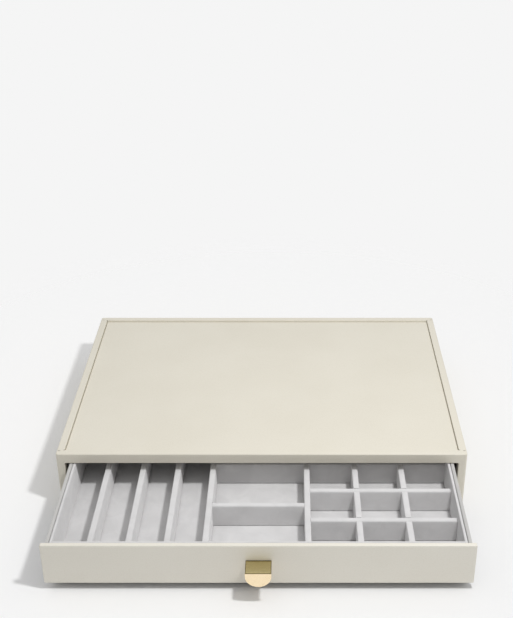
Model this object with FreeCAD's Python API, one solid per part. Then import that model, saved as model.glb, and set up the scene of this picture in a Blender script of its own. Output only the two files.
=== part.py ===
import FreeCAD
import Part
import math
import os

# Stackable jewellery drawer: a flat wrapped case with one velvet lined drawer.
# Millimetres. Z is up from the table, X is to the right, Y runs from front to back.
# The origin is the middle of the face that the case stands on.
# The drawer is drawn as it stands when pulled part of the way out.

# Case
case_width = 365.0
case_depth = 255.0
case_height = 56.0
base_height = 1.5
base_gap = 2.5
base_corner = 3.0
wall = 7.4
rim = 7.0
rail_height = 9.6
floor_height = 6.0
recess_depth = 1.8
inset_thickness = 2.5
inset_groove = 0.6
inset_corner = 1.0
rim_turned = 9.0
skin = 0.6
case_edge = 1.6
mouth_corner = 1.5
turned_in = 12.0

# Drawer
drawer_out = 108.6
front_gap = 0.5
front_top_gap = 0.6
front_bottom_gap = 0.7
front_thickness = 4.0
front_edge = 0.9
front_skin = 0.5
front_turned = 10.0
box_half_width = 171.0
side_thickness = 2.9
side_drop = 0.8
slide_gap = 0.3
bottom_step = 0.5
bottom_thickness = 3.0

# Velvet insert
insert_gap = 0.5
liner = 2.2
liner_edge = 0.9
tray_thickness = 2.5
divider = 5.2
divider_edge = 1.2
divider_drop = 8.4
divider_height = 20.5
lap_gap = 0.1
half_run = 112.8
long_pitch = 31.3
long_count = 3
zone_left_x = -43.75
zone_right_x = 40.1
column_x = [83.1, 124.6]
rows_in_half = 3

# Pull
pull_width = 21.0
pull_top = 30.8
pull_out = 15.7
pull_drop = 13.6
pull_metal = 0.8
pull_bend = 0.1
pull_eased = 0.2
flange_height = 12.0
slit_gap = 0.1
rivet_radius = 1.25
rivet_head_radius = 2.4
rivet_spread = 6.0

# Two places nearer than this are the same
touch = 1e-6

# Places that follow from the driving dimensions
half_width = case_width / 2
half_depth = case_depth / 2
inner_x = half_width - wall
inner_y = half_depth - wall
recess_x = half_width - rim
recess_y = half_depth - rim
mouth_top = case_height - rail_height
recess_floor = case_height - recess_depth - inset_thickness
front_y = -half_depth - drawer_out
front_half = inner_x - front_gap
front_top = mouth_top - front_top_gap
front_bottom = floor_height + front_bottom_gap
side_top = mouth_top - side_drop
side_bottom = floor_height + slide_gap
box_bottom = side_bottom + bottom_step
tray_bottom = box_bottom + bottom_thickness
tray_top = tray_bottom + tray_thickness
divider_top = side_top - divider_drop
floor_top = divider_top - divider_height
side_x = box_half_width - side_thickness
liner_x = side_x - insert_gap
room_x = liner_x - liner
liner_front = front_y + front_thickness
board_back = liner_front - front_skin
room_front = liner_front + liner
mid_y = room_front + half_run + divider / 2
room_back = mid_y + divider / 2 + half_run
liner_back = room_back + liner
back_y = liner_back + insert_gap
box_back = back_y + side_thickness
rivet_z = pull_top - (flange_height + pull_metal) / 2


def block(x0, x1, y0, y1, z0, z1):
    return Part.makeBox(x1 - x0, y1 - y0, z1 - z0, FreeCAD.Vector(x0, y0, z0))


def runs_along(edge, axis):
    direction = edge.Vertexes[-1].Point - edge.Vertexes[0].Point
    direction.normalize()
    return abs(abs(direction.dot(axis)) - 1.0) < touch


def top_edges(shape, height, axis):
    # The straight edges along one axis that lie at a given height
    found = []
    for edge in shape.Edges:
        if runs_along(edge, axis) and abs(edge.CenterOfMass.z - height) < touch:
            found.append(edge)
    return found


def upright_edges(shape):
    return [edge for edge in shape.Edges if runs_along(edge, along_z)]


along_x = FreeCAD.Vector(1, 0, 0)
along_y = FreeCAD.Vector(0, 1, 0)
along_z = FreeCAD.Vector(0, 0, 1)


def make_case():
    # The carcass is cut from one rounded block, first with the skin and then without it.
    # What lies between the two is the leatherette outside and the lining inside.
    outer = block(-half_width, half_width, -half_depth, half_depth, base_height, case_height)
    outer = outer.makeFillet(case_edge, outer.Edges)
    core_x = half_width - skin
    core_y = half_depth - skin
    core = block(-core_x, core_x, -core_y, core_y, base_height + skin, case_height - skin)
    core = core.makeFillet(case_edge - skin, core.Edges)

    above = case_height + 1
    ahead = -half_depth - 1
    recess = block(-recess_x, recess_x, -recess_y, recess_y, recess_floor, above)
    mouth = block(-inner_x, inner_x, ahead, inner_y, floor_height, mouth_top)
    mouth_edges = [edge for edge in mouth.Edges if runs_along(edge, along_y)]
    mouth = mouth.makeFillet(mouth_corner, mouth_edges)
    shell = outer.cut(recess).cut(mouth)

    board_x = inner_x + skin
    board_y = inner_y + skin
    ceiling = mouth_top + skin
    sill = floor_height - skin
    core = core.cut(turned_rim(above))
    core = core.cut(block(-board_x, board_x, ahead, board_y, sill, ceiling))
    covering = shell.cut(core)
    inside = block(-board_x, board_x, -half_depth + turned_in, board_y, sill, ceiling)

    far = case_width
    deep = case_depth
    return {
        "case_wrap": covering.cut(inside),
        "case_lining": covering.common(inside),
        "case_left_board": core.common(block(-far, -board_x, -deep, deep, 0, above)),
        "case_right_board": core.common(block(board_x, far, -deep, deep, 0, above)),
        "case_back_board": core.common(block(-board_x, board_x, board_y, deep, 0, above)),
        "case_front_rail": core.common(
            block(-board_x, board_x, -deep, -board_y, ceiling, above)),
        "case_top_board": core.common(
            block(-board_x, board_x, -board_y, board_y, ceiling, above)),
        "case_bottom_board": core.common(
            block(-board_x, board_x, -deep, board_y, 0, sill)),
        "top_inset_panel": make_inset_panel(),
        "stacking_base": make_stacking_base(),
    }


def turned_rim(above):
    # What the leatherette needs where it comes over the rim and is turned in below the panel
    x = recess_x + skin
    y = recess_y + skin
    bed = block(-x, x, -y, y, recess_floor - skin, above)
    x = recess_x - rim_turned
    y = recess_y - rim_turned
    return bed.cut(block(-x, x, -y, y, recess_floor - skin, recess_floor))


def make_inset_panel():
    # The sunk top panel leaves a narrow groove all round inside the raised rim
    x = recess_x - inset_groove
    y = recess_y - inset_groove
    top = recess_floor + inset_thickness
    panel = block(-x, x, -y, y, recess_floor, top)
    panel = panel.makeFillet(inset_corner, upright_edges(panel))
    upper = [edge for edge in panel.Edges if abs(edge.CenterOfMass.z - top) < touch]
    return panel.makeFillet(inset_groove, upper)


def make_stacking_base():
    # This pad drops into the sunk top of the layer below and keeps the stack in line
    x = recess_x - base_gap
    y = recess_y - base_gap
    pad = block(-x, x, -y, y, 0, base_height)
    return pad.makeFillet(base_corner, upright_edges(pad))


def make_front():
    # A thin board wrapped over its edges, with the cover turned over behind.
    # The pull comes out through a slit, and its flange is let into the back of the board.
    x = front_half
    back = liner_front
    outer = block(-x, x, front_y, back, front_bottom, front_top)
    outer = outer.makeFillet(front_edge, outer.Edges)
    board = block(-x + front_skin, x - front_skin, front_y + front_skin, board_back,
                  front_bottom + front_skin, front_top - front_skin)
    window = block(-x + front_turned, x - front_turned, front_y + front_thickness / 2, back + 1,
                   front_bottom + front_turned, front_top - front_turned)
    wrap = outer.cut(board).cut(window)
    slit_x = pull_width / 2 + slit_gap
    slit_top = pull_top + slit_gap
    slit_low = pull_top - pull_metal - pull_bend
    slit = block(-slit_x, slit_x, front_y - 1, back, slit_low, slit_top)
    pocket = block(-slit_x, slit_x, board_back - pull_metal, back,
                   pull_top - flange_height - slit_gap, slit_top)
    board = board.cut(slit).cut(pocket)
    for place_x in (-rivet_spread, rivet_spread):
        board = board.cut(rivet_shank(place_x))
    return {"drawer_front_board": board, "drawer_front_wrap": wrap.cut(slit)}


def make_drawer_box():
    outer_x = box_half_width
    side = block(side_x, outer_x, liner_front, box_back, side_bottom, side_top)
    side = side.makeFillet(liner_edge, top_edges(side, side_top, along_y))
    left = side.mirror(FreeCAD.Vector(0, 0, 0), along_x)
    back = block(-side_x, side_x, back_y, box_back, side_bottom, side_top)
    back = back.makeFillet(liner_edge, top_edges(back, side_top, along_x))
    return {
        "drawer_left_side": left,
        "drawer_right_side": side,
        "drawer_back": back,
        "drawer_bottom": block(-side_x, side_x, liner_front, back_y, box_bottom, tray_bottom),
    }


def make_liner():
    # Velvet covered boards stand on a tray board round the padded floor
    side = block(room_x, liner_x, liner_front, liner_back, tray_top, side_top)
    side = side.makeFillet(liner_edge, top_edges(side, side_top, along_y))
    left = side.mirror(FreeCAD.Vector(0, 0, 0), along_x)
    front = block(-room_x, room_x, liner_front, room_front, tray_top, side_top)
    front = front.makeFillet(liner_edge, top_edges(front, side_top, along_x))
    back = block(-room_x, room_x, room_back, liner_back, tray_top, side_top)
    back = back.makeFillet(liner_edge, top_edges(back, side_top, along_x))
    return {
        "insert_tray_board": block(-liner_x, liner_x, liner_front, liner_back, tray_bottom, tray_top),
        "insert_floor_pad": block(-room_x, room_x, room_front, room_back, tray_top, floor_top),
        "insert_left_wall": left,
        "insert_right_wall": side,
        "insert_front_wall": front,
        "insert_back_wall": back,
    }


def divider_along_y(x, crossings):
    # Runs from the front wall to the back wall, slotted from above at each crossing
    half = divider / 2
    bar = block(x - half, x + half, room_front, room_back, floor_top, divider_top)
    bar = bar.makeFillet(divider_edge, top_edges(bar, divider_top, along_y))
    lap = floor_top + divider_height / 2
    for y in crossings:
        slot = half + lap_gap
        bar = bar.cut(block(x - divider, x + divider, y - slot, y + slot, lap, divider_top + 1))
    return bar


def divider_along_x(x0, x1, y, crossings):
    # Runs across, slotted from below so that it drops over the bars it crosses
    half = divider / 2
    bar = block(x0, x1, y - half, y + half, floor_top, divider_top)
    bar = bar.makeFillet(divider_edge, top_edges(bar, divider_top, along_x))
    lap = floor_top + divider_height / 2
    for x in crossings:
        slot = half + lap_gap
        bar = bar.cut(block(x - slot, x + slot, y - divider, y + divider, floor_top - 1, lap))
    return bar


def row_places():
    # Centre lines of the cross bars in the front half and, mirrored, in the back half
    cell = (half_run - (rows_in_half - 1) * divider) / rows_in_half
    ahead = []
    for row in range(1, rows_in_half):
        ahead.append(room_front + row * cell + (row - 0.5) * divider)
    behind = [2 * mid_y - y for y in reversed(ahead)]
    return ahead, behind


def make_dividers():
    half = divider / 2
    ahead, behind = row_places()
    small_rows = ahead + behind
    middle_left = zone_left_x + half
    middle_right = zone_right_x - half
    small_left = zone_right_x + half
    parts = {}
    for number in range(1, long_count + 1):
        x = zone_left_x - long_pitch * (long_count + 1 - number)
        parts["long_divider_%d" % number] = divider_along_y(x, [])
    parts["zone_wall_left"] = divider_along_y(zone_left_x, [])
    parts["zone_wall_right"] = divider_along_y(zone_right_x, [mid_y])
    for number, x in enumerate(column_x, 1):
        crossings = sorted(small_rows + [mid_y])
        parts["column_divider_%d" % number] = divider_along_y(x, crossings)
    parts["cross_wall"] = divider_along_x(middle_left, room_x, mid_y, [zone_right_x] + column_x)
    middle_front = (room_front + mid_y - half) / 2
    middle_rear = 2 * mid_y - middle_front
    parts["middle_divider_front"] = divider_along_x(middle_left, middle_right, middle_front, [])
    parts["middle_divider_rear"] = divider_along_x(middle_left, middle_right, middle_rear, [])
    for number, y in enumerate(small_rows, 1):
        parts["row_divider_%d" % number] = divider_along_x(small_left, room_x, y, column_x)
    return parts


def rivet_shank(x):
    start = FreeCAD.Vector(x, front_y + front_skin, rivet_z)
    return Part.makeCylinder(rivet_radius, board_back - start.y, start, along_y)


def bent_strip(front, back, low, width):
    # The side view of the strip: a tab hangs at the front and a flange behind, joined by a shelf
    outer = pull_bend + pull_metal
    under = pull_top - pull_metal
    flange_low = pull_top - flange_height
    bend_z = pull_top - outer

    def at(y, z):
        return FreeCAD.Vector(-width / 2, y, z)

    def bend(centre_y, radius, side):
        # A quarter turn between the shelf and the leg on that side, -1 for the tab, 1 for the flange
        slant = radius * math.sqrt(0.5)
        return Part.Arc(at(centre_y + side * radius, bend_z),
                        at(centre_y + side * slant, bend_z + slant),
                        at(centre_y, bend_z + radius)).toShape()

    def line(start, end):
        return Part.makeLine(at(*start), at(*end))

    outline = [
        line((front, low), (front, bend_z)),
        bend(front + outer, outer, -1),
        line((front + outer, pull_top), (back - outer, pull_top)),
        bend(back - outer, outer, 1),
        line((back, bend_z), (back, flange_low)),
        line((back, flange_low), (back - pull_metal, flange_low)),
        line((back - pull_metal, flange_low), (back - pull_metal, bend_z)),
        bend(back - outer, pull_bend, 1),
        line((back - outer, under), (front + outer, under)),
        bend(front + outer, pull_bend, -1),
        line((front + pull_metal, bend_z), (front + pull_metal, low)),
        line((front + pull_metal, low), (front, low)),
    ]
    return Part.Face(Part.Wire(outline)).extrude(FreeCAD.Vector(width, 0, 0))


def make_pull():
    # One strip of brass: a half round finger tab, a level shelf and a flange behind the front
    half = pull_width / 2
    front = front_y - pull_out
    low = pull_top - pull_drop
    pull = bent_strip(front, board_back, low, pull_width)
    behind = front + pull_metal + 1
    disc = Part.makeCylinder(half, behind - front + 1, FreeCAD.Vector(0, front - 1, low + half), along_y)
    corners = block(-half, half, front - 1, behind, low - 1, low + half)
    pull = pull.cut(corners.cut(disc))
    rivets = []
    for place_x in (-rivet_spread, rivet_spread):
        shank = rivet_shank(place_x)
        pull = pull.cut(shank)
        head_at = FreeCAD.Vector(place_x, board_back, rivet_z)
        head = Part.makeCylinder(rivet_head_radius, front_skin, head_at, along_y)
        rivets.append(shank.fuse(head).removeSplitter())
    face = [edge for edge in pull.Edges if abs(edge.CenterOfMass.y - front) < touch]
    pull = pull.makeFillet(pull_eased, face)
    return {"pull_tab": pull, "pull_rivets": Part.makeCompound(rivets)}


def main():
    os.makedirs("parts", exist_ok=True)
    nodes = {}
    for section in (make_case, make_front, make_drawer_box, make_liner, make_dividers, make_pull):
        nodes.update(section())
    for name, shape in nodes.items():
        print(name, "valid", shape.isValid(), "solids", len(shape.Solids), "mm3", round(shape.Volume))
        shape.exportStep("parts/%s.step" % name)
    print("nodes", len(nodes))


main()
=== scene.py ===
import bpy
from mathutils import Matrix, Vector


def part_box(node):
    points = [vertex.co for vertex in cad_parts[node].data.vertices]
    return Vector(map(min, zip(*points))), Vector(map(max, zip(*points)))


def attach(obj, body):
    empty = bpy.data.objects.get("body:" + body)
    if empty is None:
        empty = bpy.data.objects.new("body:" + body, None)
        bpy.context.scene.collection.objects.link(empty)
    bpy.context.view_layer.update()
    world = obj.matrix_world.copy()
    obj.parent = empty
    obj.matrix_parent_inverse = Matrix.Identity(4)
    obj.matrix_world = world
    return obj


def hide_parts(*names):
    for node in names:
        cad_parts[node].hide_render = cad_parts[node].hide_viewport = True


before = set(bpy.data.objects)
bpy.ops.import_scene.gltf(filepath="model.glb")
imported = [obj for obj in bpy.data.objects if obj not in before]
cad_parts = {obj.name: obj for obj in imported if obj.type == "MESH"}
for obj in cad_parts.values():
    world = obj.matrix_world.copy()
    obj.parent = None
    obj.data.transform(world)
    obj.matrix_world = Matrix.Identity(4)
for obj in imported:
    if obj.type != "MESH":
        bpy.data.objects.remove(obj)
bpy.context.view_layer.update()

import math
import bmesh
import bpy
import numpy as np

# Stackable jewellery drawer: a wrapped case and a velvet lined drawer, dressed over the fixed frame.
mm = 0.001
weld = 1e-6  # metres, points nearer than this are one
lineGap = 1e-7  # metres, grid lines nearer than this are one
sharpAngle = 40  # degrees, a sharper fold is shaded as an edge
calmNoise = (0.35, 0.65)  # most values of a noise texture lie between these
wildNoise = (0.3, 0.7)  # and between these where it is rougher


def placeOf(node):
    # Lowest and highest corner of a node of the frame
    low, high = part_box(node)
    return np.array(low), np.array(high)


caseLow, caseHigh = placeOf("case_wrap")
frontLow, frontHigh = placeOf("drawer_front_wrap")


# Materials

def linearColour(code):
    # sRGB hex to the linear values that the shaders use, and full opacity
    parts = np.array([int(code[at:at + 2], 16) for at in (0, 2, 4)]) / 255
    linear = np.where(parts <= 0.04045, parts / 12.92, ((parts + 0.055) / 1.055) ** 2.4)
    return (*linear.tolist(), 1.0)


def setInputs(tree, node, inputs):
    # inputs holds plain values and the sockets that feed the node
    for socket, value in inputs.items():
        if isinstance(value, bpy.types.NodeSocket):
            tree.links.new(value, node.inputs[socket])
        else:
            node.inputs[socket].default_value = value


def addNode(tree, kind, inputs=None, **settings):
    # settings are the node's properties
    made = tree.nodes.new(kind)
    for setting, value in settings.items():
        setattr(made, setting, value)
    setInputs(tree, made, inputs or {})
    return made


def emptyTree(owner):
    owner.use_nodes = True
    owner.node_tree.nodes.clear()
    return owner.node_tree


def startMaterial(name):
    material = bpy.data.materials.new(name)
    tree = emptyTree(material)
    shader = addNode(tree, "ShaderNodeBsdfPrincipled")
    addNode(tree, "ShaderNodeOutputMaterial", {"Surface": shader.outputs["BSDF"]})
    place = addNode(tree, "ShaderNodeTexCoord").outputs["Object"]
    return material, tree, shader, place


leatheretteLook = {
    "lit": "e2ddcf",
    "poreShadeAndTone": "d8d2c2",
    "crease": "8e897e",  # painted shade in creases and notches, where a mesh carries the attribute crease
    "grain": 0.9 * mm,  # pebble size
    "grainDepth": 0.035 * mm,
    "grainRelief": 0.6,
    "pits": (0.25, 0.75),  # distances from a pebble's middle over which a pit begins
    "pitShadeShare": 0.35,  # painted shade: how far a pit is darkened toward the pore colour
    "cloudSize": 60 * mm,  # slow change of tone over the sheet
    "cloudShare": 0.25,
    "roughness": 0.5,
    "roughSpread": (-0.06, 0.08),
    "ior": 1.5,
    "lacquer": 0.25,
    "lacquerRoughness": 0.3,
}


def makeLeatherette(name="polyurethane leatherette", look=leatheretteLook):
    # Polyurethane leatherette, embossed with a fine pebble and lacquered matt:
    # an even cream with a broad soft gloss and a grain that shows close by
    material, tree, shader, place = startMaterial(name)
    pebble = addNode(tree, "ShaderNodeTexVoronoi", {"Vector": place, "Scale": 1 / look["grain"]},
                     feature="SMOOTH_F1")
    fibre = addNode(tree, "ShaderNodeTexNoise",
                    {"Vector": place, "Scale": 3 / look["grain"], "Detail": 3.0})
    cloud = addNode(tree, "ShaderNodeTexNoise",
                    {"Vector": place, "Scale": 1 / look["cloudSize"], "Detail": 2.0})
    pits = addNode(tree, "ShaderNodeMapRange",
                   {"Value": pebble.outputs["Distance"], "From Min": look["pits"][0],
                    "From Max": look["pits"][1]})
    tone = addNode(tree, "ShaderNodeMapRange",
                   {"Value": cloud.outputs["Fac"], "From Min": calmNoise[0], "From Max": calmNoise[1],
                    "To Min": 0.0, "To Max": look["cloudShare"]})
    # Painted shade in the pits of the grain, added to the slow random tone of the sheet
    share = addNode(tree, "ShaderNodeMath", {0: pits.outputs[0], 1: look["pitShadeShare"]},
                    operation="MULTIPLY")
    mixed = addNode(tree, "ShaderNodeMath", {0: share.outputs[0], 1: tone.outputs[0]},
                    operation="ADD", use_clamp=True)
    colour = addNode(tree, "ShaderNodeMix",
                     {0: mixed.outputs[0], 6: linearColour(look["lit"]), 7: linearColour(look["poreShadeAndTone"])},
                     data_type="RGBA")
    # Painted shade: creases and notches of the case cover take the darker crease colour
    crease = addNode(tree, "ShaderNodeAttribute", attribute_name="crease").outputs["Fac"]
    paintedCreaseShade = addNode(tree, "ShaderNodeMix",
                   {0: crease, 6: colour.outputs[2], 7: linearColour(look["crease"])}, data_type="RGBA")
    less, more = look["roughSpread"]
    rough = addNode(tree, "ShaderNodeMapRange",
                    {"Value": fibre.outputs["Fac"], "To Min": look["roughness"] + less,
                     "To Max": look["roughness"] + more})
    height = addNode(tree, "ShaderNodeMath", {0: pits.outputs[0], 1: fibre.outputs["Fac"]},
                     operation="SUBTRACT")
    bump = addNode(tree, "ShaderNodeBump",
                   {"Height": height.outputs[0], "Distance": look["grainDepth"],
                    "Strength": look["grainRelief"]}, invert=True)
    setInputs(tree, shader, {"Base Color": paintedCreaseShade.outputs[2], "Roughness": rough.outputs[0],
                             "Normal": bump.outputs[0], "IOR": look["ior"],
                             "Coat Weight": look["lacquer"], "Coat Roughness": look["lacquerRoughness"]})
    return material


velvetLook = {
    "raised": "dcdbdb",
    "brushed": "d5d4d4",
    "pile": 0.4 * mm,
    "pileDepth": 0.06 * mm,
    "pileRelief": 0.7,
    "fleck": 0.2,  # how far single tufts stray from the tone around them
    "strokeSize": 14 * mm,  # patches where the nap lies the other way
    "strokeBend": 0.6,
    "roughness": (0.85, 1.0),
    "softness": 0.6,  # roughness of the diffuse part
    "ior": 1.4,
    "gloss": 0.2,
    "sheen": 0.12,
    "sheenRoughness": 0.5,
}


def makeVelvet(name="cotton velvet", look=velvetLook):
    # Short cut pile, woven and sheared: matt, with a pale sheen at a low angle and soft stroke marks
    material, tree, shader, place = startMaterial(name)
    pile = addNode(tree, "ShaderNodeTexNoise",
                   {"Vector": place, "Scale": 1 / look["pile"], "Detail": 2.0, "Roughness": 0.7})
    stroke = addNode(tree, "ShaderNodeTexNoise",
                     {"Vector": place, "Scale": 1 / look["strokeSize"], "Detail": 3.0,
                      "Distortion": look["strokeBend"]})
    lies = addNode(tree, "ShaderNodeMapRange",
                   {"Value": stroke.outputs["Fac"], "From Min": calmNoise[0], "From Max": calmNoise[1]})
    fleck = addNode(tree, "ShaderNodeMapRange",
                    {"Value": pile.outputs["Fac"], "From Min": wildNoise[0], "From Max": wildNoise[1],
                     "To Min": -look["fleck"], "To Max": look["fleck"]})
    share = addNode(tree, "ShaderNodeMath", {0: lies.outputs[0], 1: fleck.outputs[0]},
                    operation="ADD", use_clamp=True)
    colour = addNode(tree, "ShaderNodeMix",
                     {0: share.outputs[0], 6: linearColour(look["raised"]),
                      7: linearColour(look["brushed"])}, data_type="RGBA")
    bump = addNode(tree, "ShaderNodeBump",
                   {"Height": pile.outputs["Fac"], "Distance": look["pileDepth"],
                    "Strength": look["pileRelief"]})
    rough = addNode(tree, "ShaderNodeMapRange",
                    {"Value": pile.outputs["Fac"], "To Min": look["roughness"][0],
                     "To Max": look["roughness"][1]})
    setInputs(tree, shader, {"Base Color": colour.outputs[2], "Roughness": rough.outputs[0],
                             "Normal": bump.outputs[0], "IOR": look["ior"],
                             "Specular IOR Level": look["gloss"], "Sheen Weight": look["sheen"],
                             "Sheen Roughness": look["sheenRoughness"],
                             "Diffuse Roughness": look["softness"]})
    return material


brassLook = {
    "metal": "fbe8c7",
    "tarnish": "f6e0ba",
    "cloudSize": 6 * mm,
    "shelf": "cdbf90",  # painted shade: the level part is darker, standing for its reflection of the dim drawer front
    "shelfEdgeShade": "75693f",  # painted shade, darker still along its edges
    "shadeBand": 0.8 * mm,
    "slitShadeBand": 1.6 * mm,  # painted shadow: darkened length where the strip leaves the cover
    "level": (0.5, 0.9),  # upward parts of the normal between which a face becomes level and takes the painted shade
    "lineWidth": 0.25 * mm,  # drawn coarser than the real brushing, which would not show
    "lineStretch": 0.03,  # width of a line over its length
    "lineDepth": 0.004 * mm,
    "lineRelief": 0.5,
    "roughness": 0.24,
    "roughSpread": (-0.05, 0.08),
}


def makeBrass(look=brassLook):
    # Brushed and lacquered brass: fine lines across the strip, a warm bright gloss, and faces that look up
    # painted darker as shade and reflection
    material, tree, shader, place = startMaterial("brushed brass")
    turned = addNode(tree, "ShaderNodeMapping",
                     {"Vector": place, "Scale": (look["lineStretch"], 1.0, 1.0)})
    lines = addNode(tree, "ShaderNodeTexNoise",
                    {"Vector": turned.outputs[0], "Scale": 1 / look["lineWidth"], "Detail": 2.0})
    cloud = addNode(tree, "ShaderNodeTexNoise", {"Vector": place, "Scale": 1 / look["cloudSize"]})
    bright = addNode(tree, "ShaderNodeMix",
                     {0: cloud.outputs["Fac"], 6: linearColour(look["metal"]),
                      7: linearColour(look["tarnish"])}, data_type="RGBA")
    # Painted shade: the level part darkens over half a band at its sides, its front fold and the slit
    low, high = placeOf("pull_tab")
    band, slit = look["shadeBand"], look["slitShadeBand"]
    parts = addNode(tree, "ShaderNodeSeparateXYZ", {0: place})
    aside = addNode(tree, "ShaderNodeMath", {0: parts.outputs[0]}, operation="ABSOLUTE")
    sideShade = addNode(tree, "ShaderNodeMapRange",
                     {"Value": aside.outputs[0], "From Min": high[0] - band,
                      "From Max": high[0] - 0.5 * band})
    foldShade = addNode(tree, "ShaderNodeMapRange",
                      {"Value": parts.outputs[1], "From Min": low[1] + 1.5 * band,
                       "From Max": low[1] + band})
    slitShade = addNode(tree, "ShaderNodeMapRange",
                     {"Value": parts.outputs[1], "From Min": frontLow[1] - slit,
                      "From Max": frontLow[1] - 0.5 * slit})
    outer = addNode(tree, "ShaderNodeMath", {0: sideShade.outputs[0], 1: foldShade.outputs[0]},
                    operation="MAXIMUM")
    edges = addNode(tree, "ShaderNodeMath", {0: outer.outputs[0], 1: slitShade.outputs[0]},
                    operation="MAXIMUM")
    level = addNode(tree, "ShaderNodeMix",
                    {0: edges.outputs[0], 6: linearColour(look["shelf"]),
                     7: linearColour(look["shelfEdgeShade"])}, data_type="RGBA")
    facing = addNode(tree, "ShaderNodeSeparateXYZ",
                     {0: addNode(tree, "ShaderNodeNewGeometry").outputs["True Normal"]}).outputs[2]
    flat = addNode(tree, "ShaderNodeMapRange",
                   {"Value": facing, "From Min": look["level"][0], "From Max": look["level"][1]})
    # Faces that look up take the painted shade in place of the metal's own colour
    colour = addNode(tree, "ShaderNodeMix",
                     {0: flat.outputs[0], 6: bright.outputs[2], 7: level.outputs[2]}, data_type="RGBA")
    less, more = look["roughSpread"]
    rough = addNode(tree, "ShaderNodeMapRange",
                    {"Value": lines.outputs["Fac"], "To Min": look["roughness"] + less,
                     "To Max": look["roughness"] + more})
    bump = addNode(tree, "ShaderNodeBump",
                   {"Height": lines.outputs["Fac"], "Distance": look["lineDepth"],
                    "Strength": look["lineRelief"]})
    setInputs(tree, shader, {"Base Color": colour.outputs[2], "Metallic": 1.0,
                             "Roughness": rough.outputs[0], "Normal": bump.outputs[0]})
    return material


leatherette = makeLeatherette()
# The drawer front's cover is a paler copy of the same leatherette, painted lighter for the light on its
# upright face
frontPaintedLighterLeatherette = makeLeatherette("paler polyurethane leatherette",
                                   dict(leatheretteLook, lit="e7e3d8", poreShadeAndTone="ded9cc"))
velvet = makeVelvet()
brass = makeBrass()

# Flocked suedette glued inside the case: the velvet's duller relative, in a darker grey that is chosen dark
# to deepen the shade inside the case
lining = makeVelvet("flocked suedette", dict(velvetLook, raised="7c7a78", brushed="716f6d", pile=0.3 * mm))

# Paper covered board of the drawer's own box: pale grey, faintly fibrous, eggshell
paperLook = dict(velvetLook, raised="c8c7c5", brushed="c2c1bf", pile=0.5 * mm, pileDepth=0.02 * mm,
                 strokeSize=40 * mm)
bookCloth = makeVelvet("covering paper", paperLook)

# Plain grey paper glued below the drawer, where it slides, painted dark to deepen the shade on the floor
# under the drawer front
underShadePaper = makeVelvet("dark grey paper deepening the shade under the drawer", dict(paperLook, raised="706f6d", brushed="676664"))

# Pressed wool felt of the pad under the case: tangled fibres, quite matt
felt = makeVelvet("pressed felt", dict(velvetLook, raised="bdb8ad", brushed="aaa69b", pile=0.7 * mm,
                                       pileDepth=0.12 * mm, strokeSize=5 * mm))

# Medium density fibreboard, sawn and sanded: brown with fine flecks of fibre
fibreboard = makeVelvet("medium density fibreboard",
                        dict(velvetLook, raised="c3a27c", brushed="ab8a64", pile=0.8 * mm,
                             pileDepth=0.03 * mm, strokeSize=3 * mm))
print("materials made")


# Meshes from grids of points

def gridFaces(rows, columns, closed):
    # Quads of a grid that is stored row by row; closed joins its last column to its first
    count = columns if closed else columns - 1
    row, column = np.meshgrid(np.arange(rows - 1), np.arange(count), indexing="ij")
    here = row * columns + column
    beside = row * columns + (column + 1) % columns
    return np.stack([here, beside, beside + columns, here + columns], axis=-1)


def addObject(name, data):
    made = bpy.data.objects.new(name, data)
    bpy.context.scene.collection.objects.link(made)
    return made


def makePiece(name, surfaces, material, body, replaced, crease=None):
    # surfaces holds points and faces; they are welded where they meet and shaded smooth up to sharpAngle.
    # crease gives the first points a share of the crease colour, a painted shade.
    points, faces, start = [], [], 0
    for grid, quads in surfaces:
        points.append(grid.reshape(-1, 3))
        faces.append(quads.reshape(-1, 4) + start)
        start += len(points[-1])
    mesh = bpy.data.meshes.new(name)
    mesh.from_pydata(np.concatenate(points).tolist(), [], np.concatenate(faces).tolist())
    if crease is not None:
        shares = np.zeros(len(mesh.vertices))
        shares[:crease.size] = crease.ravel()
        mesh.attributes.new("crease", "FLOAT", "POINT").data.foreach_set("value", shares)
    shape = bmesh.new()
    shape.from_mesh(mesh)
    bmesh.ops.remove_doubles(shape, verts=shape.verts, dist=weld)
    bmesh.ops.dissolve_degenerate(shape, dist=weld, edges=shape.edges)
    bmesh.ops.recalc_face_normals(shape, faces=shape.faces)
    shape.to_mesh(mesh)
    shape.free()
    mesh.materials.append(material)
    mesh.shade_smooth()
    mesh.set_sharp_from_angle(angle=math.radians(sharpAngle))
    piece = addObject(name, mesh)
    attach(piece, body)
    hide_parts(*replaced)
    return piece


def closedGrid(grid):
    # A surface whose rows are rings
    return grid, gridFaces(*grid.shape[:2], True)


def openGrid(grid):
    # A surface whose rows have two ends
    return grid, gridFaces(*grid.shape[:2], False)


def slowWaves(along, seed, size, length=70 * mm):
    # Sum of three sine waves with seeded lengths and phases, about size high and length long;
    # the higher a wave the longer it is
    chance = np.random.default_rng(seed)
    total = np.zeros_like(along)
    for share in (0.5, 0.3, 0.2):
        wave = length * chance.uniform(0.6, 1.5) * (share + 0.5)
        total += share * np.sin(2 * np.pi * along / wave + chance.uniform(0, 2 * np.pi))
    return size * total


def twoWaves(across, along, seeds, lengths):
    # Product of the slow waves in two directions
    return slowWaves(across, seeds[0], 1.0, lengths[0]) * slowWaves(along, seeds[1], 1.0, lengths[1])


def crowd(start, end, step, places=(), near=()):
    # Even steps from start to end, with extra lines at given offsets from each place
    lines = list(np.linspace(start, end, max(2, int(round((end - start) / step)) + 1)))
    for place in places:
        lines += [place + offset for offset in near] + [place - offset for offset in near]
    lines = np.array(sorted(value for value in lines if start <= value <= end))
    return lines[np.concatenate([[True], np.diff(lines) > lineGap])]


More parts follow.
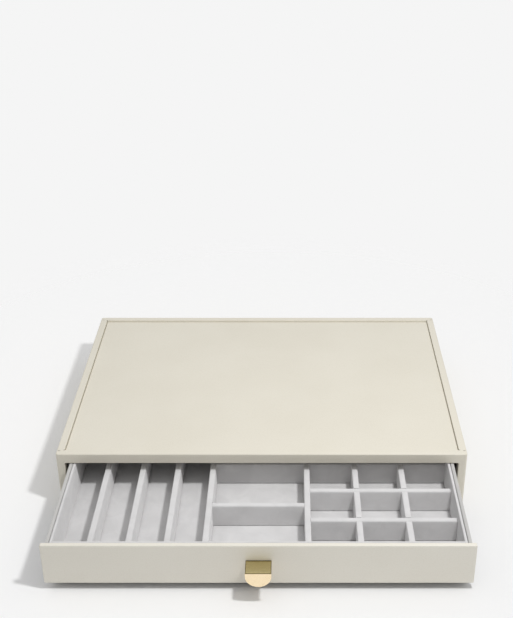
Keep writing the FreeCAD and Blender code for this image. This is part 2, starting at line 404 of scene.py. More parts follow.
def quarter(steps):
    # Angles of a quarter turn in even steps
    return np.linspace(0, np.pi / 2, steps + 1)


# Bars and walls: a rounded section carried along a straight line

barLook = {
    "edge": 1.2 * mm,
    "edgeSteps": 6,
    "footShares": (1.0, 0.6, 0.3),  # grid lines up the sides, from the foot
    "step": 4 * mm,
    "clear": 0.2 * mm,  # no cross line lies nearer to a slot's end
    "play": 0.05 * mm,  # between a slot and the bar in it, on either side
    "sway": 0.08 * mm,
    "topSway": 0.06 * mm,
    "topWave": 45 * mm,
    "topSeed": 50,
    "endFade": 3 * mm,  # the sway fades out over this length at both ends
}


def barSection(halfWide, look):
    # A quarter circle of radius edge joins each side to the top. The rows are the place across, the depth
    # below the top and the share of the foot, which is 1 at the foot and 0 from the roundings up.
    edge, shares, turn = look["edge"], look["footShares"], quarter(look["edgeSteps"])
    across = [halfWide] * len(shares) + list(halfWide - edge + edge * np.cos(turn)) + [0.0]
    depth = [edge] * len(shares) + list(edge - edge * np.sin(turn)) + [0.0]
    foot = list(shares) + [0.0] * (len(turn) + 1)
    right = np.array([across, depth, foot])
    left = right[:, -2::-1] * np.array([[-1.0], [1.0], [1.0]])
    return np.concatenate([right, left], axis=1)


def makeBar(name, axis, slots, look, material, seed):
    # The section is carried along the bar; its middle and its top sway by slow waves that fade at the ends.
    # slots holds pairs of a place along the bar and +1 for a slot from above, -1 for one from below.
    # A slot's ends are two rows at one place, a plain one and one that is cut down or up to the lap.
    low, high = placeOf(name)
    other = 1 - axis
    start, end = low[axis], high[axis]
    lap = (low[2] + high[2]) / 2
    reach = (crossHigh[1] - crossLow[1]) / 2 + look["play"]
    along = [value for value in crowd(start, end, look["step"])
             if all(abs(value - place) > reach + look["clear"] for place, _ in slots)]
    stations = [(value, high[2], low[2]) for value in along]
    for place, side in slots:
        for edge in (-reach, reach):
            inner = (place + edge, lap, low[2]) if side > 0 else (place + edge, high[2], lap)
            plain = (place + edge, high[2], low[2])
            stations += [plain, inner] if edge < 0 else [inner, plain]
    order = np.argsort([station[0] for station in stations], kind="stable")
    stations = np.array(stations)[order]
    across, depth, foot = barSection((high[other] - low[other]) / 2, look)
    run, top, bottom = stations[:, :1], stations[:, 1:2], stations[:, 2:3]
    fade = np.clip(np.minimum(run - start, end - run) / look["endFade"], 0, 1)
    sway = slowWaves(run, seed, look["sway"]) * fade
    rise = slowWaves(run, seed + look["topSeed"], look["topSway"], look["topWave"]) * fade
    grid = np.zeros((len(stations), len(across), 3))
    grid[..., axis] = run
    grid[..., other] = (low[other] + high[other]) / 2 + across + sway * (1 - foot)
    grid[..., 2] = (top + rise * (1 - foot) - depth) * (1 - foot) + bottom * foot
    caps = [np.broadcast_to(row.mean(axis=0), row.shape) for row in (grid[0], grid[-1])]
    grid = np.concatenate([caps[:1], grid, caps[1:]])
    makePiece(name + "_cover", [closedGrid(grid)], material, "drawer", [name])


def centreOf(node, axis):
    low, high = placeOf(node)
    return (low[axis] + high[axis]) / 2


longBars = ["long_divider_1", "long_divider_2", "long_divider_3", "zone_wall_left"]
middleBars = ["middle_divider_front", "middle_divider_rear"]
rowBars = ["row_divider_%d" % number for number in (1, 2, 3, 4)]
columnBars = ["column_divider_1", "column_divider_2"]
crossLow, crossHigh = placeOf("cross_wall")


def makeDividers():
    # Bars that run back are slotted from above where others cross them, and those from below
    crossing = {name: [] for name in longBars}
    crossing["zone_wall_right"] = [(centreOf("cross_wall", 1), 1)]
    for name in columnBars:
        crossing[name] = [(centreOf(bar, 1), 1) for bar in rowBars + ["cross_wall"]]
    for seed, (name, slots) in enumerate(crossing.items()):
        makeBar(name, 1, slots, barLook, velvet, seed)
    over = [(centreOf(bar, 0), -1) for bar in columnBars]
    across = {"cross_wall": over + [(centreOf("zone_wall_right", 0), -1)]}
    across.update({name: [] for name in middleBars})
    across.update({name: over for name in rowBars})
    for seed, (name, slots) in enumerate(across.items(), 20):
        makeBar(name, 0, slots, barLook, velvet, seed)
    print("dividers made")


wallLook = dict(barLook, edge=0.9 * mm, sway=0.05 * mm, topSway=0.04 * mm)


def makeWalls():
    # The walls of the insert and the sides of the drawer are bars without slots
    for seed, (name, axis) in enumerate(
            [("insert_left_wall", 1), ("insert_right_wall", 1), ("insert_front_wall", 0),
             ("insert_back_wall", 0)], 40):
        makeBar(name, axis, [], wallLook, velvet, seed)
    for seed, (name, axis) in enumerate(
            [("drawer_left_side", 1), ("drawer_right_side", 1), ("drawer_back", 0)], 46):
        makeBar(name, axis, [], wallLook, bookCloth, seed)
    print("walls made")


# Padded floor

padLook = {
    "sink": 0.7 * mm,  # how far the cover is drawn down beside a bar
    "falloff": 1.3 * mm,
    "sway": 0.12 * mm,
    "swaySeeds": (7, 8),
    "swayLengths": (60 * mm, 50 * mm),
    "flat": 4 * mm,  # distance from a bar at which the sway is full
    "step": 5 * mm,
    "near": [0, 0.4 * mm, 0.9 * mm, 1.6 * mm, 2.6 * mm, 4.0 * mm],  # extra lines beside a bar
}


def makePad(look=padLook):
    # Height is the top less sink times exp(-distance to the nearest bar / falloff), plus slow waves
    low, high = placeOf("insert_floor_pad")
    names = longBars + ["zone_wall_right", "cross_wall"] + middleBars + columnBars + rowBars
    bars = [placeOf(name) for name in names]
    x, y = (crowd(low[axis], high[axis], look["step"],
                  [low[axis], high[axis]] + [bar[side][axis] for bar in bars for side in (0, 1)],
                  look["near"]) for axis in (0, 1))
    gridX, gridY = np.meshgrid(x, y, indexing="ij")
    nearest = np.minimum.reduce([gridX - low[0], high[0] - gridX, gridY - low[1], high[1] - gridY])
    for barLow, barHigh in bars:
        apartX = np.maximum(np.maximum(barLow[0] - gridX, gridX - barHigh[0]), 0)
        apartY = np.maximum(np.maximum(barLow[1] - gridY, gridY - barHigh[1]), 0)
        nearest = np.minimum(nearest, np.hypot(apartX, apartY))
    waves = twoWaves(gridX, gridY, look["swaySeeds"], look["swayLengths"])
    rise = -look["sink"] * np.exp(-nearest / look["falloff"])
    rise += look["sway"] * waves * np.clip(nearest / look["flat"], 0, 1)
    top = np.stack([gridX, gridY, high[2] + rise], axis=-1)
    under = np.stack([gridX, gridY, np.full_like(gridX, low[2])], axis=-1)
    surfaces = [openGrid(top), openGrid(under)]
    for side in (np.s_[0, :], np.s_[-1, :], np.s_[:, 0], np.s_[:, -1]):
        surfaces.append(openGrid(np.stack([top[side], under[side]])))
    pad = makePiece("insert_floor_cover", surfaces, velvet, "drawer", ["insert_floor_pad"])
    print("floor made")


# Rings: a rounded rectangle carried along a profile

nearEnds = [0, 0.5 * mm, 1.2 * mm, 2.5 * mm, 5 * mm]  # extra grid lines lie this far from an end


def ringTemplate(alongX, alongY, cornerSteps):
    # Each point is a share of the straight part plus a unit normal: right side, back, left side, front
    turn = quarter(cornerSteps)[1:-1]
    share, normal = [], []
    sides = [(np.stack([np.ones_like(alongY), alongY], 1), 0.0),
             (np.stack([alongX[::-1], np.ones_like(alongX)], 1), 0.5),
             (np.stack([-np.ones_like(alongY), alongY[::-1]], 1), 1.0),
             (np.stack([alongX, -np.ones_like(alongX)], 1), 1.5)]
    for side, half in sides:
        angle = half * np.pi
        share.append(side)
        normal.append(np.broadcast_to([np.cos(angle), np.sin(angle)], side.shape))
        corner = side[-1]
        share.append(np.broadcast_to(corner, (len(turn), 2)))
        normal.append(np.stack([np.cos(angle + turn), np.sin(angle + turn)], 1))
    return np.concatenate(share), np.concatenate(normal)


def ringRows(template, profile):
    # profile rows are half width, half depth, corner radius, level; gives rows x points x (u, v, level):
    # share * (half size - radius) + normal * radius
    share, normal = template
    profile = np.array(profile)
    half, radius, level = profile[:, :2], profile[:, 2], profile[:, 3]
    flat = share[None] * (half[:, None] - radius[:, None, None]) + normal[None] * radius[:, None, None]
    levels = np.broadcast_to(level[:, None, None], (*flat.shape[:2], 1))
    return np.concatenate([flat, levels], axis=-1)


def sharesWithEnds(half, step, near):
    # Shares from -1 to 1 along a straight part, with extra lines close to both ends
    return crowd(-half, half, step, [-half, half], near) / half


def ringAt(half, inset, corner, level):
    # One profile row: a rectangle drawn in by inset, with its corner radius and level
    return half[0] - inset, half[1] - inset, corner, level


def rollEdge(half, corner, edge, face, side, steps):
    # Quarter circle from the wall to the face above it (side 1) or below it (side -1):
    # inset is edge * (1 - cos), level is face - side * edge * (1 - sin)
    rolled = []
    for turn in quarter(steps):
        inset = edge * (1 - math.cos(turn))
        rolled.append(ringAt(half, inset, corner - inset, face - side * edge * (1 - math.sin(turn))))
    return rolled


def closeFlat(profile, level, reach):
    # Rings that shrink to a line by the given shares and so close a flat face
    half, radius = profile[-1][:2], profile[-1][2]
    return profile + [ringAt(half, share * min(half), radius * (1 - share), level) for share in reach]


panelLook = {
    "edge": 0.5 * mm,
    "edgeSteps": 6,
    "corner": 1.2 * mm,
    "cornerSteps": 8,
    "cover": 0.35 * mm,  # how much its cover adds to the board's width on each side
    "lowRing": 0.6 * mm,  # a ring this far above the underside
    "step": 8 * mm,
    "reach": [0.008, 0.03, 0.1, 0.25, 0.5, 0.75, 1.0],  # rings of the top, as shares of the way in
    "sway": 0.05 * mm,
    "swaySeeds": (3, 4),
    "swayLengths": (120 * mm, 90 * mm),
}


def makeInsetPanel(look=panelLook):
    # Rings from the middle of the underside out, up the sides and in over the top, which sways slowly
    low, high = placeOf("top_inset_panel")
    half = ((high - low) / 2 + look["cover"])[:2]
    corner = look["corner"]
    profile = closeFlat([ringAt(half, 0, corner, low[2])], low[2], [1.0])[::-1]
    profile.append(ringAt(half, 0, corner, low[2] + look["lowRing"]))
    profile += rollEdge(half, corner, look["edge"], high[2], 1, look["edgeSteps"])
    profile = closeFlat(profile, high[2], look["reach"])
    template = ringTemplate(sharesWithEnds(half[0], look["step"], nearEnds),
                            sharesWithEnds(half[1], look["step"], nearEnds), look["cornerSteps"])
    grid = ringRows(template, profile)
    raised = np.clip((grid[..., 2] - low[2]) / (high[2] - low[2]), 0, 1)
    waves = twoWaves(grid[..., 0], grid[..., 1], look["swaySeeds"], look["swayLengths"])
    grid[..., 2] += raised * look["sway"] * waves
    makePiece("top_inset_cover", [closedGrid(grid)], leatherette, "case",
              ["top_inset_panel"])
    print("inset panel made")


frontLook = {
    "edge": 0.8 * mm,
    "backSteps": 5,
    "faceSteps": 6,
    "corner": 1.1 * mm,
    "cornerSteps": 6,
    "flap": 10 * mm,  # how far the cover is turned over behind the board
    "flapCorner": 0.2 * mm,
    "flapDeep": 0.5 * mm,
    "stepX": 7 * mm,
    "stepZ": 4 * mm,
    "reach": [0.06, 0.2, 0.5, 0.8, 1.0],
    "sway": 0.07 * mm,
    "swaySeeds": (11, 12),
    "swayLengths": (110 * mm, 40 * mm),
}


def makeFrontCover(look=frontLook):
    # The rings lie in the plane of the front and their level runs from back to front:
    # out over the flap, round the back edge, along the sides and in over the face, which sways slowly
    middle = (frontLow + frontHigh) / 2
    half = ((frontHigh - frontLow) / 2)[[0, 2]]
    back, face = frontHigh[1], frontLow[1]
    edge, corner = look["edge"], look["corner"]
    profile = [ringAt(half, look["flap"], look["flapCorner"], level)
               for level in (back - look["flapDeep"], back)]
    profile += rollEdge(half, corner, edge, back, 1, look["backSteps"])[::-1]
    profile.append(ringAt(half, 0, corner, (back + face) / 2))
    profile += rollEdge(half, corner, edge, face, -1, look["faceSteps"])
    profile = closeFlat(profile, face, look["reach"])
    template = ringTemplate(sharesWithEnds(half[0], look["stepX"], nearEnds),
                            sharesWithEnds(half[1], look["stepZ"], nearEnds[:3]), look["cornerSteps"])
    ring = ringRows(template, profile)
    front = np.clip((back - ring[..., 2]) / (back - face), 0, 1)
    waves = twoWaves(ring[..., 0], ring[..., 1], look["swaySeeds"], look["swayLengths"])
    sway = front * look["sway"] * waves
    grid = np.stack([ring[..., 0] + middle[0], ring[..., 2] + sway, ring[..., 1] + middle[2]], axis=-1)
    makePiece("drawer_front_cover", [closedGrid(grid)], frontPaintedLighterLeatherette, "drawer",
              ["drawer_front_wrap"])
    print("drawer front made")


caseLook = {
    "edge": 1.1 * mm,
    "edgeSteps": 8,
    "underSteps": 6,
    "corner": 2.2 * mm,
    "cornerSteps": 8,
    "rimEdge": 0.35 * mm,
    "rimSteps": 5,
    "rimCorner": 0.6 * mm,
    "mouthEdge": 0.45 * mm,
    "mouthSteps": 5,
    "mouthCorner": 1.5 * mm,
    "turnedIn": 12 * mm,
    "turnedInRings": 4,
    "groove": 0.8 * mm,  # from the rim to the board of the sunk panel, whose cover makes it narrower
    "underPanel": 3 * mm,  # how far the skin is turned in below the panel
    "overBoard": -0.02 * mm,  # there it just dips into the board
    "thickness": 0.5 * mm,
    "sway": 0.05 * mm,
    "swaySeeds": (31, 32),
    "swayLengths": (130 * mm, 110 * mm),
    "step": 8 * mm,
    "reach": [0.02, 0.1, 0.4, 0.7, 1.0],  # rings of the underside, as shares of the way in
    "fine": 0.32 * mm,  # spacing of the grid round corners and folds
    "fineReach": 7.5 * mm,
    "closest": 0.05 * mm,  # grid lines that come nearer to each other are left out
    "pleatX": 2.2 * mm,  # place of a corner pleat from the outer edges
    "pleatY": 5.6 * mm,
    "pleatHalf": 1.3 * mm,
    "pleatBow": 0.7 * mm,
    "pleatWide": 0.4 * mm,
    "pleatDeep": 0.35 * mm,
    "swellHigh": 0.2 * mm,  # the skin swells beside a pleat
    "swellPlace": 2.2,  # from the pleat, in pleat widths, as is the next
    "swellWide": 1.6,
    "notchWide": 0.7 * mm,  # where the skin is cut to be turned in at the corners of the sunk top
    "notchDeep": 0.3 * mm,
}


def foldCorners(grid, half, rim, look):
    # Beside each corner of the rim the skin is pleated: a short bowed crease of depth
    # deep * exp(-(distance to the bow / wide)^2), faded out at its ends, and a swelling behind it.
    # Where the skin is cut at the rim's inner corners a notch falls off from the corner. Crease and notch
    # are returned as shares of the painted crease shade.
    wide = look["pleatWide"]
    fromX = half[0] - np.abs(grid[..., 0])
    fromY = half[1] - np.abs(grid[..., 1])
    across = (fromX - look["pleatX"]) / look["pleatHalf"]
    apart = fromY - look["pleatY"] - look["pleatBow"] * across ** 2
    onRim = grid[..., 2] > caseHigh[2] - look["edge"]
    fade = np.exp(-across ** 4) * onRim
    crease = fade * np.exp(-(apart / wide) ** 2)
    swell = fade * np.exp(-((apart - look["swellPlace"] * wide) / (look["swellWide"] * wide)) ** 2)
    notch = onRim * np.exp(-((fromX - rim) ** 2 + (fromY - rim) ** 2) / look["notchWide"] ** 2)
    grid[..., 2] += look["swellHigh"] * swell - look["pleatDeep"] * crease - look["notchDeep"] * notch
    return np.clip(crease + notch, 0, 1)


def caseProfile(half, rim, mouthLevels, near, look):
    # Rings from under the panel out to the rim, up and over it, down the walls and in below,
    # closer together near the mouth's levels
    top, bottom = caseHigh[2], caseLow[2]
    edge, corner, rimEdge, rimCorner = (look[name] for name in ("edge", "corner", "rimEdge", "rimCorner"))
    sunk = placeOf("case_top_board")[1][2] + look["overBoard"]
    profile = [ringAt(half, inset, rimCorner, sunk) for inset in (rim + look["underPanel"], rim)]
    for turn in quarter(look["rimSteps"]):
        inset = rim - rimEdge * (1 - math.cos(turn))
        profile.append(ringAt(half, inset, rimCorner, top - rimEdge * (1 - math.sin(turn))))
    onRim = np.arange(rim - rimEdge, edge, -look["fine"])[1:]
    profile += [ringAt(half, inset, corner - edge, top) for inset in onRim]
    profile += rollEdge(half, corner, edge, top, 1, look["edgeSteps"])[::-1]
    walls = crowd(bottom + edge, top - edge, look["step"], mouthLevels, near)[::-1][1:-1]
    profile += [ringAt(half, 0, corner, level) for level in walls]
    profile += rollEdge(half, corner, edge, bottom, -1, look["underSteps"])
    return closeFlat(profile, bottom, look["reach"])


def caseTemplate(straight, mouthX, near, look):
    # Lines along the front and back are also closer near the mouth's ends, and one falls on each end
    fine = np.arange(0, look["fineReach"], look["fine"])
    lines = crowd(-straight[0], straight[0], look["step"], [-straight[0], straight[0]], fine)
    lines = np.unique(np.concatenate([lines, crowd(-mouthX, mouthX, look["step"], [-mouthX, mouthX], near)]))
    lines = lines[np.concatenate([[True], np.diff(lines) > look["closest"]])]
    for side in (-1, 1):
        lines[np.argmin(abs(lines - side * mouthX))] = side * mouthX
    return ringTemplate(lines / straight[0], sharesWithEnds(straight[1], look["step"], fine),
                        look["cornerSteps"])


def cutMouth(grid, profile, template, mouth, look):
    # Takes the faces out of the mouth and moves the grid points round it to its rounded outline: each goes
    # to radius corner from the rectangle that lies corner further in. Gives the faces that stay and the
    # rings of the skin that is turned in: round a quarter circle of the mouth's edge, then straight in.
    mouthX, mouthTop, mouthLow, corner = mouth
    share, normal = template
    quads = gridFaces(*grid.shape[:2], True)
    onFront = np.where((normal[:, 1] == -1) & (share[:, 1] == -1))[0]
    widths, levels = np.array(profile)[:, 0], np.array(profile)[:, 3]
    wall = int(np.argmax(widths >= widths.max() - weld))
    high, low = (wall + int(np.argmin(abs(levels[wall:] - level))) for level in (mouthTop, mouthLow))
    placeX = grid[high, onFront, 0]
    left, right = (onFront[np.argmin(abs(placeX - side * mouthX))] for side in (-1, 1))
    keep = np.ones(quads.shape[:2], bool)
    keep[high:low, left:right] = False

    loop = [(high, column) for column in range(left, right + 1)]
    loop += [(row, right) for row in range(high + 1, low + 1)]
    loop += [(low, column) for column in range(right - 1, left - 1, -1)]
    loop += [(row, left) for row in range(low - 1, high, -1)]
    loop = np.array(loop)
    outline = grid[loop[:, 0], loop[:, 1]][:, [0, 2]]
    reach = np.array([mouthX, (mouthTop - mouthLow) / 2]) - corner
    centre = np.array([0, (mouthTop + mouthLow) / 2])
    inner = centre + np.clip(outline - centre, -reach, reach)
    away = outline - inner
    away /= np.linalg.norm(away, axis=1, keepdims=True)
    outline = inner + corner * away
    grid[loop[:, 0], loop[:, 1], 0] = outline[:, 0]
    grid[loop[:, 0], loop[:, 1], 2] = outline[:, 1]

    lip = look["mouthEdge"]
    turnedIn = [(lip * math.sin(turn), lip * (1 - math.cos(turn))) for turn in quarter(look["mouthSteps"])]
    turnedIn += [(lip, depth) for depth in
                 np.linspace(lip, look["turnedIn"], look["turnedInRings"] + 1)[1:]]
    front = grid[high, left, 1]
    rings = []
    for inset, depth in turnedIn:
        ring = outline - inset * away
        rings.append(np.stack([ring[:, 0], np.full(len(ring), front + depth), ring[:, 1]], axis=-1))
    return quads[keep], np.array(rings)


def makeCaseCover(look=caseLook):
    # One skin: from the sunk top over the rim, down the walls and under, and turned in at the drawer's mouth
    boardLow, boardHigh = placeOf("case_left_board")
    half = caseHigh[:2]
    skin = boardLow[0] - caseLow[0]
    rim = half[0] - placeOf("top_inset_panel")[1][0] - look["groove"]
    lip = look["mouthEdge"]
    mouthX = lip - skin - boardHigh[0]
    mouthTop = placeOf("case_top_board")[0][2] - skin + lip
    mouthLow = placeOf("case_bottom_board")[1][2] + skin - lip
    corner = look["mouthCorner"] + lip
    near = np.arange(0, corner + look["fine"], look["fine"])
    profile = caseProfile(half, rim, [mouthTop, mouthLow], near, look)
    template = caseTemplate(half - look["corner"], mouthX, near, look)
    grid = ringRows(template, profile)
    faces, turnedIn = cutMouth(grid, profile, template, (mouthX, mouthTop, mouthLow, corner), look)
    crease = foldCorners(grid, half, rim, look)
    waves = twoWaves(grid[..., 0], grid[..., 1], look["swaySeeds"], look["swayLengths"])
    onTop = grid[..., 2] > caseHigh[2] - weld - look["notchDeep"]
    grid[..., 2] += look["sway"] * waves * onTop
    cover = makePiece("case_cover", [(grid, faces), closedGrid(turnedIn)], leatherette,
                      "case", ["case_wrap"], crease)
    thick = cover.modifiers.new("thickness", "SOLIDIFY")
    thick.thickness = look["thickness"]
    thick.offset = -1  # inwards
    print("case cover made")


pullLook = {
    "metal": 0.8 * mm,
    "outside": 0.45 * mm,  # radius of a bend on its outer side
    "inside": 0.1 * mm,
    "flange": 12 * mm,  # how far the strip hangs down behind the board
    "corner": 0.6 * mm,  # the flange's lower corners
    "cornerSteps": 5,  # also round the eased edges
    "eased": 0.2 * mm,  # rounding of every edge
    "stations": (5, 8, 8, 8, 2),  # grid lines on the flange, bend, shelf, bend and tab
    "cornerClear": 1 * mm,  # keeps the flange's first line clear of its corner
    "roundSteps": 48,
    "acrossLines": 11,
    "shrink": [0, 0.3, 0.6, 0.85, 0.96],  # rings of the flat faces, as shares of the width
}


def bendStrip(s, v, level, folds, look):
    # A point s along the strip, v across and level below its outer face, bent twice by a quarter turn:
    # up the flange, forward over the shelf and down the tab. The straight parts take up what a
    # tighter bend leaves, and the round end keeps its shape.
    back, front, top, low, half, marks = folds
    centre = max(look["outside"], level + look["inside"])
    reach = centre - level
    flangeEnd, shelfStart, shelfEnd, tabStart, tabEnd = marks
    rise = np.interp(s, [flangeEnd, shelfStart], [0, np.pi / 2])
    fall = np.interp(s, [shelfEnd, tabStart], [0, np.pi / 2])
    shelf = np.interp(s, [shelfStart, shelfEnd], [0, back - front - 2 * centre])
    up = np.interp(s, [0, flangeEnd], [top - look["flange"], top - centre])
    down = np.interp(s, [tabStart, tabEnd], [top - centre, low + half]) - np.maximum(s - tabEnd, 0)
    behind = s < (shelfStart + shelfEnd) / 2
    y = np.where(behind, back - centre + reach * np.cos(rise) - shelf,
                 back - centre - shelf - reach * np.sin(fall))
    z = np.where(behind, up + reach * np.sin(rise), down + reach * np.cos(fall))
    return np.stack([v, y, z], axis=-1)


def makePull(look=pullLook):
    # The flat outline is points s along the strip and v across it, each a centre plus radius times normal;
    # easing an edge takes its inset from the radius. Then the strip is bent.
    low, high = placeOf("pull_tab")
    metal, eased, corner = look["metal"], look["eased"], look["corner"]
    half = high[0]
    flangeEnd = look["flange"] - metal
    shelfStart = flangeEnd + metal
    shelfEnd = shelfStart + high[1] - low[1] - 2 * metal
    tabStart = shelfEnd + metal
    tabEnd = tabStart + high[2] - low[2] - metal - half
    marks = (flangeEnd, shelfStart, shelfEnd, tabStart, tabEnd)
    starts = (corner - look["cornerClear"], *marks[:-1])
    stations = np.concatenate([np.linspace(start, end, count + 1)[1:]
                               for start, end, count in zip(starts, marks, look["stations"])])
    turn = quarter(look["cornerSteps"])[1:-1]
    side = half - corner
    outline = [(s, side, corner, 0, 1) for s in stations]
    outline += [(tabEnd, 0, half, math.sin(angle), math.cos(angle))
                for angle in np.linspace(0, np.pi, look["roundSteps"] + 1)[1:-1]]
    outline += [(s, -side, corner, 0, -1) for s in stations[::-1]]
    outline += [(corner, -side, corner, -math.sin(angle), -math.cos(angle)) for angle in turn]
    outline += [(corner, v, corner, -1, 0) for v in np.linspace(-1, 1, look["acrossLines"]) * side]
    outline += [(corner, side, corner, -math.cos(angle), math.sin(angle)) for angle in turn]
    outline = np.array(outline)
    centre, radius, normal = outline[:, :2], outline[:, 2:3], outline[:, 3:]

    # Each ring of the section: inset from the outline, level below the outer face, share of the width
    section = [(eased, 0, share) for share in look["shrink"]]
    section += [(eased * (1 - math.sin(angle)), eased * (1 - math.cos(angle)), 1)
                for angle in quarter(look["cornerSteps"])]
    section += [(eased * (1 - math.cos(angle)), metal - eased * (1 - math.sin(angle)), 1)
                for angle in quarter(look["cornerSteps"])]
    section += [(eased, metal, share) for share in look["shrink"][::-1]]
    folds = (high[1], low[1], high[2], low[2], half, marks)
    grid = []
    for inset, level, share in section:
        flat = centre + (radius - inset) * normal
        grid.append(bendStrip(flat[:, 0], flat[:, 1] * share, level, folds, look))
    makePiece("pull_strip", [closedGrid(np.array(grid))], brass, "drawer", ["pull_tab"])
    print("pull made")


# Finish of the frame's own pieces

def dressFrame():
    # The frame's pieces that show get their finish, the boards inside are fibreboard
    looks = {"case_wrap": leatherette, "case_lining": lining, "stacking_base": felt, "pull_tab": brass,
             "pull_rivets": brass, "drawer_bottom": underShadePaper}
    for name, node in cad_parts.items():
        material = looks.get(name, fibreboard)
        for place in node.material_slots:
            place.material = material
        if not node.material_slots:
            node.data.materials.append(material)


# Stage, light and camera

stageLook = {
    "floor": "f5f5f5",
    "solid": 0.30,  # metres from the middle out to which the camera sees the floor itself
    "gone": 0.48,  # and from which it sees only the backdrop
    "size": 2.0,  # metres from the middle to the floor's edges
    "fillLow": 0.08,  # the fill light is weakest at the horizon
    "fillRise": 0.79,  # and grows by this up to the top
    "keyPlace": (0.235, -0.345, 0.705),
    "keySize": 0.07,  # metres across
    "keyShare": 0.39,  # the lamp's light on a level face at the middle, where white is 1
}


def makeFloor(look=stageLook):
    # For the camera the floor is toned so that it looks even although the lamp is near: its colour is
    # divided by the fill on a level face, whose mean is at 2/3 of its rise, plus the lamp's share, which
    # goes with the cosines at the floor and at the lamp and with the falloff. Far out it fades away.
    material = bpy.data.materials.new("pale floor")
    tree = emptyTree(material)
    place = addNode(tree, "ShaderNodeTexCoord").outputs["Object"]
    distance = addNode(tree, "ShaderNodeVectorMath", {0: place}, operation="LENGTH")
    fade = addNode(tree, "ShaderNodeMapRange",
                   {"Value": distance.outputs["Value"], "From Min": look["solid"],
                    "From Max": look["gone"]}, interpolation_type="SMOOTHSTEP")
    seen = addNode(tree, "ShaderNodeLightPath").outputs["Is Camera Ray"]
    share = addNode(tree, "ShaderNodeMath", {0: fade.outputs[0], 1: seen}, operation="MULTIPLY")
    lamp = np.array(look["keyPlace"])
    away = float(np.linalg.norm(lamp))
    toLamp = addNode(tree, "ShaderNodeVectorMath", {0: tuple(lamp.tolist()), 1: place},
                     operation="SUBTRACT")
    far = addNode(tree, "ShaderNodeVectorMath", {0: toLamp.outputs[0]},
                  operation="LENGTH").outputs["Value"]
    aimed = addNode(tree, "ShaderNodeVectorMath",
                    {0: toLamp.outputs[0], 1: tuple((lamp / away).tolist())},
                    operation="DOT_PRODUCT").outputs["Value"]
    cube = addNode(tree, "ShaderNodeMath", {0: far, 1: 3.0}, operation="POWER")
    ratio = addNode(tree, "ShaderNodeMath", {0: aimed, 1: cube.outputs[0]}, operation="DIVIDE")
    light = addNode(tree, "ShaderNodeMath",
                    {0: ratio.outputs[0], 1: look["keyShare"] * away ** 2,
                     2: look["fillLow"] + look["fillRise"] * 2 / 3}, operation="MULTIPLY_ADD")
    even = addNode(tree, "ShaderNodeMath", {0: 1.0, 1: light.outputs[0]}, operation="DIVIDE")
    toned = addNode(tree, "ShaderNodeVectorMath",
                    {0: linearColour(look["floor"])[:3], 3: even.outputs[0]}, operation="SCALE")
    colour = addNode(tree, "ShaderNodeMix",
                     {0: seen, 6: linearColour(look["floor"]), 7: toned.outputs[0]}, data_type="RGBA")
    matt = addNode(tree, "ShaderNodeBsdfDiffuse", {"Color": colour.outputs[2]})
    through = addNode(tree, "ShaderNodeBsdfTransparent")
    mixed = addNode(tree, "ShaderNodeMixShader",
                    {0: share.outputs[0], 1: matt.outputs[0], 2: through.outputs[0]})
    addNode(tree, "ShaderNodeOutputMaterial", {"Surface": mixed.outputs[0]})
    size = look["size"]
    mesh = bpy.data.meshes.new("floor")
    corners = [(-size, -size, 0), (size, -size, 0), (size, size, 0), (-size, size, 0)]
    mesh.from_pydata(corners, [], [(0, 1, 2, 3)])
    mesh.materials.append(material)
    floor = addObject("floor", mesh)


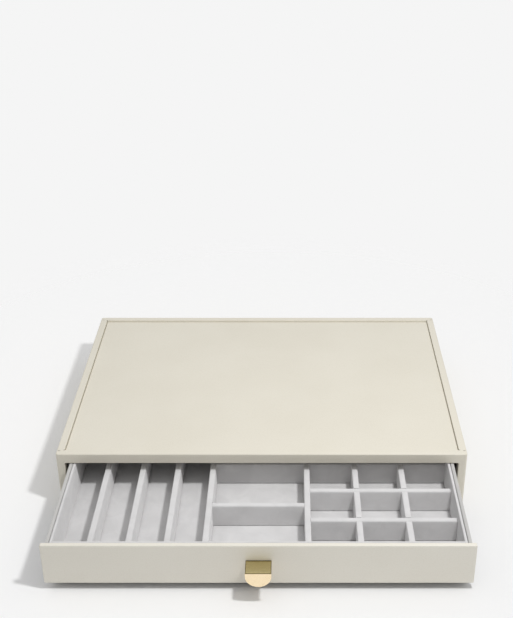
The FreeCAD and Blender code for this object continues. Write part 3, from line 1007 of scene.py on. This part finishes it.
def makeWorld(look=stageLook):
    # Fill light grows from the horizon to the top as fillLow + fillRise * height of the direction
    world = bpy.data.worlds.new("studio")
    bpy.context.scene.world = world
    tree = emptyTree(world)
    direction = addNode(tree, "ShaderNodeTexCoord").outputs["Generated"]
    parts = addNode(tree, "ShaderNodeSeparateXYZ", {0: direction})
    rise = addNode(tree, "ShaderNodeMath",
                   {0: parts.outputs[2], 1: look["fillRise"], 2: look["fillLow"]},
                   operation="MULTIPLY_ADD")
    path = addNode(tree, "ShaderNodeLightPath")
    fill = addNode(tree, "ShaderNodeBackground", {"Color": (1, 1, 1, 1), "Strength": rise.outputs[0]})
    backdrop = addNode(tree, "ShaderNodeBackground", {"Color": linearColour(look["floor"])})
    direct = addNode(tree, "ShaderNodeMath",
                     {0: path.outputs["Is Camera Ray"], 1: path.outputs["Is Transmission Ray"]},
                     operation="MAXIMUM")
    seen = addNode(tree, "ShaderNodeMath", {0: direct.outputs[0], 1: path.outputs["Is Glossy Ray"]},
                   operation="MAXIMUM")
    mixed = addNode(tree, "ShaderNodeMixShader",
                    {0: seen.outputs[0], 1: fill.outputs[0], 2: backdrop.outputs[0]})
    addNode(tree, "ShaderNodeOutputWorld", {"Surface": mixed.outputs[0]})


def makeKey(look=stageLook):
    # A soft round lamp above the right front, whose light weakens only with the plain distance. Its energy
    # is keyShare * pi^2 * distance / cosine at a level face, which gives such a face its share.
    place = np.array(look["keyPlace"])
    towards = place / np.linalg.norm(place)
    lamp = bpy.data.lights.new("key", "AREA")
    lamp.shape = "DISK"
    lamp.size = look["keySize"]
    lamp.energy = look["keyShare"] * math.pi ** 2 / towards[2] * np.linalg.norm(place)
    lamp.use_nodes = True
    tree = lamp.node_tree
    steady = addNode(tree, "ShaderNodeLightFalloff", {"Strength": 1.0})
    tree.links.new(steady.outputs["Linear"], tree.nodes["Emission"].inputs["Strength"])
    key = addObject("key", lamp)
    key.location = place
    key.rotation_euler = (math.acos(towards[2]), 0, math.atan2(towards[1], towards[0]) + math.pi / 2)


cameraLook = {
    "place": (0.02505, -0.86556, 0.59155),
    "down": 27.863,  # degrees below the horizon
    "focalPixels": 1020.98,
    "longSide": 618,
    "middlePixel": 256.5,  # the picture's middle column
    "aimPixel": 289.82,  # and the column that the camera points at
    "sensor": 36.0,  # millimetres, as is the focal length
}


def makeCamera(look=cameraLook):
    lens = bpy.data.cameras.new("camera")
    lens.sensor_width = look["sensor"]
    lens.lens = look["focalPixels"] / look["longSide"] * look["sensor"]
    lens.shift_x = (look["middlePixel"] - look["aimPixel"]) / look["longSide"]
    camera = addObject("camera", lens)
    camera.location = look["place"]
    camera.rotation_euler = (math.radians(90 - look["down"]), 0, 0)
    bpy.context.scene.camera = camera


bpy.context.scene.view_settings.view_transform = "Standard"
makeCamera()
makeFloor()
makeWorld()
makeKey()
dressFrame()
makeDividers()
makeWalls()
makePad()
makeInsetPanel()
makeFrontCover()
makeCaseCover()
makePull()
